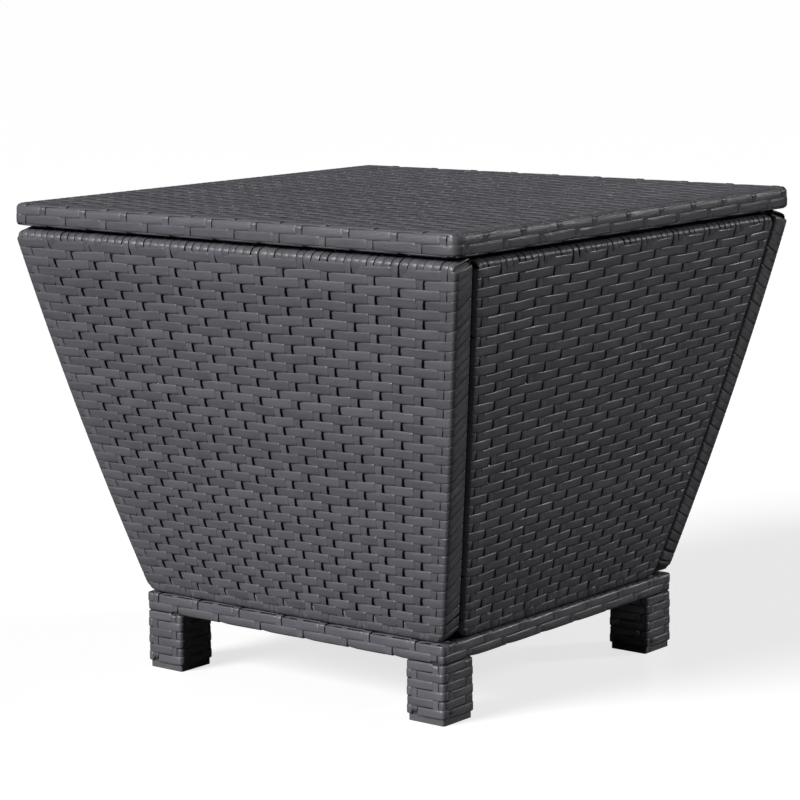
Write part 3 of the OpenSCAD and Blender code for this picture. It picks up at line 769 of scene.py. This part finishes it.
lid_weave = new_bundle()
lid_across = slab_skin(lid_half, lid_corner, lid_fold, lid_top, lid_track, True)
lid_along = slab_skin(lid_half, lid_corner, lid_fold, lid_top, lid_track, False)
lid_wave = hand_wave(0.6)
lid_end = np.array([-2, -1, 0, 1.5, 3.3, 5.5])
lid_end_h = np.array([-0.8, -0.8, -0.8, -0.85, -1.25, -1.85])
for row in range(lid_rows):
    v0 = (row - (lid_rows - 1) / 2) * lid_pitch
    deep = np.where(on_tube | (abs(v0) > end_tube_from), lid_tube_under_h, lid_under_h)
    flat_end = lid_half - lid_fold - rounded_off(abs(v0) - (lid_half - lid_corner), lid_corner)
    u, h, slip = inside_of(flat_end - lid_clear, lid_over_h, lid_ease,
                           *weft_run(lid_stakes, row % 2 == 0, lid_over_h, deep))
    v = v0 + lid_wave(u, v0) * lid_wave_share + lid_slip * slip
    if abs(v0) > straight_rows_from:
        v = v0 + straight_row_slip * slip
    v = np.pad(v, len(lid_end), mode="edge")
    u = edged(u, -flat_end - lid_end[::-1], flat_end + lid_end)
    h = edged(h, lid_end_h[::-1], lid_end_h)
    lay_ribbon(lid_weave, lid_across, u, v, h, lid_row_wide)

lid_down = np.array([1.6, 3.2, 4.8, 6.3, 7.85, 8.7, 12.9, 17.1, 19.85, 21.4, 23, 24.56, 26, 30,
                     34.2, 37, 39.1, 40.4, 41.7, 43, 50])
lid_steps = np.arange(2 * lid_rows - 1)
near_end = lid_half - lid_fold
for n, at in enumerate(lid_stakes):
    low, high = lid_tube_upright_low if on_tube[n] else lid_upright_low, lid_upright_high
    shows = (n + lid_steps // 2) % 2 == 0
    h = np.where(lid_steps % 2 == 1, (high + low) / 2, np.where(shows, high, low))
    hinge_here = abs(abs(at) - hinge_at) < hinge_bare
    back_down = lid_down[lid_down < bare_down] if hinge_here else lid_down
    front_h = stake_height(lid_down, passed_rows, n % 2 == 0, lid_stake_over_h, lid_stake_under_h)
    back_h = stake_height(back_down, passed_rows, n % 2 == 1, lid_stake_over_h, lid_stake_under_h)
    v = edged((lid_steps - lid_rows + 1) / 2 * lid_pitch, -near_end - lid_down[::-1],
              near_end + back_down)
    h = edged(h, front_h[::-1], back_h)
    lay_ribbon(lid_weave, lid_along, np.full(len(v), at), v, h, lid_stake_wide, stake_thick,
               plain_section)
    for way in (-1, 1):
        beyond = np.concatenate([[-2, 0], lid_down])
        h = stake_height(beyond, (*edge_rows, *under_rows), (n % 2 == 1) == (way == 1),
                         lid_stake_over_h, lid_stake_under_h)
        h[beyond < lid_stake_start_until] = lid_stake_start_h
        u = way * (near_end + beyond)
        lay_ribbon(lid_weave, lid_across, u, np.full(len(u), at), h, lid_stake_wide, stake_thick,
                   plain_section)

lid_edge, lid_lap = edge_skin(lid_half, lid_corner, lid_fold, lid_top, lid_track)
for n, row_at in enumerate(edge_rows):
    lay_round(lid_weave, lid_edge, lid_lap, lid_half, lid_corner, lid_stakes, row_at, n == 1,
              edge_over_h, edge_under_h, edge_row_wide)

# Under the lid each side has rows of its own, left out on the bare steel of the hinges.
hinge_half = 31.5
for quarter in range(4):
    middle = quarter * lid_lap + lid_half - lid_corner
    for row_at, under_first, reach in zip(under_rows, (False, True), under_row_reach):
        stretches = [(-reach, reach)]
        if quarter == 2:
            stretches = [(-reach, -hinge_at - hinge_half),
                         (-hinge_at + hinge_half, hinge_at - hinge_half),
                         (hinge_at + hinge_half, reach)]
        for start, end in stretches:
            u, h, slip = weft_run(lid_stakes, under_first, under_row_over_h, under_row_under_h)
            inside = (u > start + under_row_clear) & (u < end - under_row_clear)
            u = np.concatenate([[start], u[inside], [end]])
            h = np.pad(h[inside], 1, mode="edge")
            lay_ribbon(lid_weave, lid_edge, u + middle, np.full(len(u), -row_at), h, under_row_wide)

piece = weave_piece("lid_ribbon", lid_weave, Matrix())
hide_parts("lid_weave")
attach(piece, "lid")

# Lid bars. The two bars under the lid are wrapped in ribbon, side by side, tucked up behind the
# woven top.

bar_half, bar_fold, bar_side = 10.0, 4.0, 12.5
bar_under_top = 3.5
bar_wraps, bar_wrap_pitch = 52, 8.75
bar_wrap_wide, bar_wrap_thick, bar_wrap_h = 8.5, 1.15, -0.68
bar_track = fold_track([(bar_side, bar_fold), (2 * (bar_half - bar_fold), bar_fold),
                        (bar_side, sharp_turn)])
bar_round = np.array([0, 6, 12.5, 14.1, 15.6, 17.2, 18.8, 24.8, 30.8, 32.4, 33.9, 35.5, 37.1, 44, 49])


def bar_skin(u, v, h):
    """Round the underside of a bar: along it, and down one side, across and up the other."""
    out, back, n_out, n_face = (np.interp(v, bar_track[0], bar_track[i]) for i in (1, 2, 3, 4))
    return np.stack([back - bar_half - n_face * h, u, lid_top - bar_under_top - out - n_out * h], -1)


for side, middle in (("left", -lid_bars), ("right", lid_bars)):
    wraps = new_bundle()
    for n in range(bar_wraps):
        at = (n - (bar_wraps - 1) / 2) * bar_wrap_pitch + chance.uniform(-0.3, 0.3)
        lean = chance.uniform(-0.5, 0.5)
        lay_ribbon(wraps, bar_skin, at + lean * bar_round / bar_round[-1], bar_round, bar_wrap_h,
                   bar_wrap_wide, bar_wrap_thick, plain_section)
    piece = weave_piece(side + "_lid_bar_ribbon", wraps, Matrix.Translation((middle / 1000, 0, 0)))
    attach(piece, "lid")

# Welded frames. Square steel tube in black powder coat, which dries with a faint orange peel and
# slow clouds of a paler tone.


def surface_cloud_group():
    """A slow cloud and a fine speck over a surface, in metres, for coats and mouldings."""
    group, given, out = shader_group("surface_cloud", ["Cloud Scale", "Speck Scale"],
                                     ["Cloud", "Speck"])
    place = group.nodes.new("ShaderNodeTexCoord")
    for scale, label, detail in (("Cloud Scale", "Cloud", 3), ("Speck Scale", "Speck", 2)):
        noise = group.nodes.new("ShaderNodeTexNoise")
        noise.inputs["Detail"].default_value = detail
        group.links.new(place.outputs["Object"], noise.inputs["Vector"])
        group.links.new(given.outputs[scale], noise.inputs["Scale"])
        group.links.new(noise.outputs["Fac"], out.inputs[label])
    return group


surface_cloud = surface_cloud_group()


def coated_material(name, dark, pale, roughness, metallic, cloud_scale, speck_scale, bump_depth):
    material, tree, shader = new_material(name)
    shader.inputs["Metallic"].default_value = metallic
    cloud = tree.nodes.new("ShaderNodeGroup")
    cloud.node_tree = surface_cloud
    cloud.inputs["Cloud Scale"].default_value = cloud_scale
    cloud.inputs["Speck Scale"].default_value = speck_scale
    tone = weighed_sum(tree, (cloud.outputs["Cloud"], 0.7), (cloud.outputs["Speck"], 0.3))
    specks = math_node(tree, "MULTIPLY", cloud.outputs["Speck"], 0.25)
    tree.links.new(tone_ramp(tree, tone, dark, pale, 0.7), shader.inputs["Base Color"])
    tree.links.new(math_node(tree, "ADD", specks, roughness), shader.inputs["Roughness"])
    tree.links.new(surface_bump(tree, cloud.outputs["Speck"], 0.5, bump_depth),
                   shader.inputs["Normal"])
    return material


def dress(material, *nodes):
    for node in nodes:
        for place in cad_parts[node].material_slots:
            place.material = material


powder_coat = coated_material("powder_coat", (0.022, 0.022, 0.024), (0.034, 0.034, 0.036), 0.38, 0,
                              60, 2600, 0.0001)
dress(powder_coat, "front_panel_frame", "right_panel_frame", "back_panel_frame",
      "left_panel_frame", "base_frame", "lid_frame")

# Foot caps. Moulded black plastic plugs pushed up into the leg tubes, with the fine spark texture
# of their mould.

foot_plastic = coated_material("foot_plastic", (0.075, 0.075, 0.080), (0.105, 0.105, 0.112), 0.36,
                               0, 90, 1800, 0.00008)
dress(foot_plastic, "front_left_foot_cap", "front_right_foot_cap", "back_right_foot_cap",
      "back_left_foot_cap")

# Bolts, washers and threaded inserts. Zinc-plated steel, blotched a little by the plating bath.

zinc_plate = coated_material("zinc_plate", (0.42, 0.42, 0.43), (0.62, 0.62, 0.63), 0.26, 1,
                             220, 3200, 0.00004)
dress(zinc_plate, "panel_bolts", "panel_washers", "panel_inserts", "base_bolts", "base_washers",
      "base_inserts")

# Hinges. Two butt hinges at the back in black zinc, screwed to the bare rim and lid tubes, with
# the mottled sheen of a thin plating.

black_zinc = coated_material("black_zinc", (0.030, 0.030, 0.032), (0.062, 0.062, 0.065), 0.32, 0.6,
                             140, 2400, 0.00006)
dress(black_zinc, "left_hinge_box_leaf", "right_hinge_box_leaf", "left_hinge_lid_leaf",
      "right_hinge_lid_leaf", "left_hinge_pin", "right_hinge_pin", "hinge_box_screws",
      "hinge_lid_screws")

# The studio: a pale floor that runs on as a white backdrop, one lamp before the front and a faint
# one behind the right side that grazes its weave. Floor and world are white to the camera only,
# so that they don't flatten the weave with their light.

floor_reach = 30
floor_corners = [(-floor_reach, -floor_reach, 0), (floor_reach, -floor_reach, 0),
                 (floor_reach, floor_reach, 0), (-floor_reach, floor_reach, 0)]
floor_mesh = bpy.data.meshes.new("studio_floor")
floor_mesh.from_pydata(floor_corners, [], [(0, 1, 2, 3)])
studio_floor = bpy.data.objects.new("studio_floor", floor_mesh)
bpy.context.scene.collection.objects.link(studio_floor)


def camera_only(tree, level, for_others=0.0):
    """A level that the camera sees, added to the one for all other rays."""
    seen = tree.nodes.new("ShaderNodeLightPath")
    share = math_node(tree, "MULTIPLY", seen.outputs["Is Camera Ray"], level)
    return math_node(tree, "ADD", share, for_others)


floor_paint, paint, paint_shader = new_material("floor_paint")
paint_shader.inputs["Roughness"].default_value = 0.35
paint_shader.inputs["Emission Color"].default_value = (1, 1, 1, 1)
paint.links.new(camera_only(paint, 0.74), paint_shader.inputs["Emission Strength"])
paint.links.new(camera_only(paint, 0.32, 0.05), paint_shader.inputs["Base Color"])
floor_mesh.materials.append(floor_paint)

world = bpy.data.worlds.new("white_studio")
bpy.context.scene.world = world
world.use_nodes = True
sky = world.node_tree
sky.links.new(camera_only(sky, 0.96, 0.04), sky.nodes["Background"].inputs["Strength"])
sky.nodes["Background"].inputs["Color"].default_value = (1, 1, 1, 1)


def from_front(azimuth, elevation):
    """The way to something at an azimuth, 0 in front and turning to the right, in degrees."""
    a, e = radians(azimuth), radians(elevation)
    return Vector((sin(a) * cos(e), -cos(a) * cos(e), sin(e)))


def lamp(name, azimuth, elevation, spread, strength):
    """A far soft lamp aimed at the table."""
    data = bpy.data.lights.new(name, "SUN")
    data.angle, data.energy = radians(spread), strength
    thing = bpy.data.objects.new(name, data)
    way = from_front(azimuth, elevation)
    thing.location = way * 3
    thing.rotation_euler = way.to_track_quat("Z", "Y").to_euler()
    bpy.context.scene.collection.objects.link(thing)


lamp("front_lamp", azimuth=-16, elevation=32, spread=24, strength=4.5)
lamp("right_lamp", azimuth=142, elevation=24, spread=9, strength=1.1)

# The camera of the photo: a long lens, from the front right and a little above the lid, rolled
# slightly.

view_azimuth, view_elevation, view_roll = 39.01, 9.31, -0.70
view_distance, view_shift, view_height = 2.5433, -0.00856, 0.2399
camera_data = bpy.data.cameras.new("photo_camera")
camera_data.sensor_width = 36
camera_data.lens = 125.53
camera = bpy.data.objects.new("photo_camera", camera_data)
bpy.context.scene.collection.objects.link(camera)
bpy.context.scene.camera = camera
toward = from_front(view_azimuth, view_elevation)
to_the_right = Vector((cos(radians(view_azimuth)), sin(radians(view_azimuth)), 0))
aim = to_the_right * view_shift + Vector((0, 0, view_height))
camera.location = aim + toward * view_distance
camera.rotation_euler = (toward.to_track_quat("Z", "Y").to_matrix().to_4x4()
                         @ Matrix.Rotation(radians(view_roll), 4, "Z")).to_euler()

bpy.context.scene.view_settings.view_transform = "Standard"
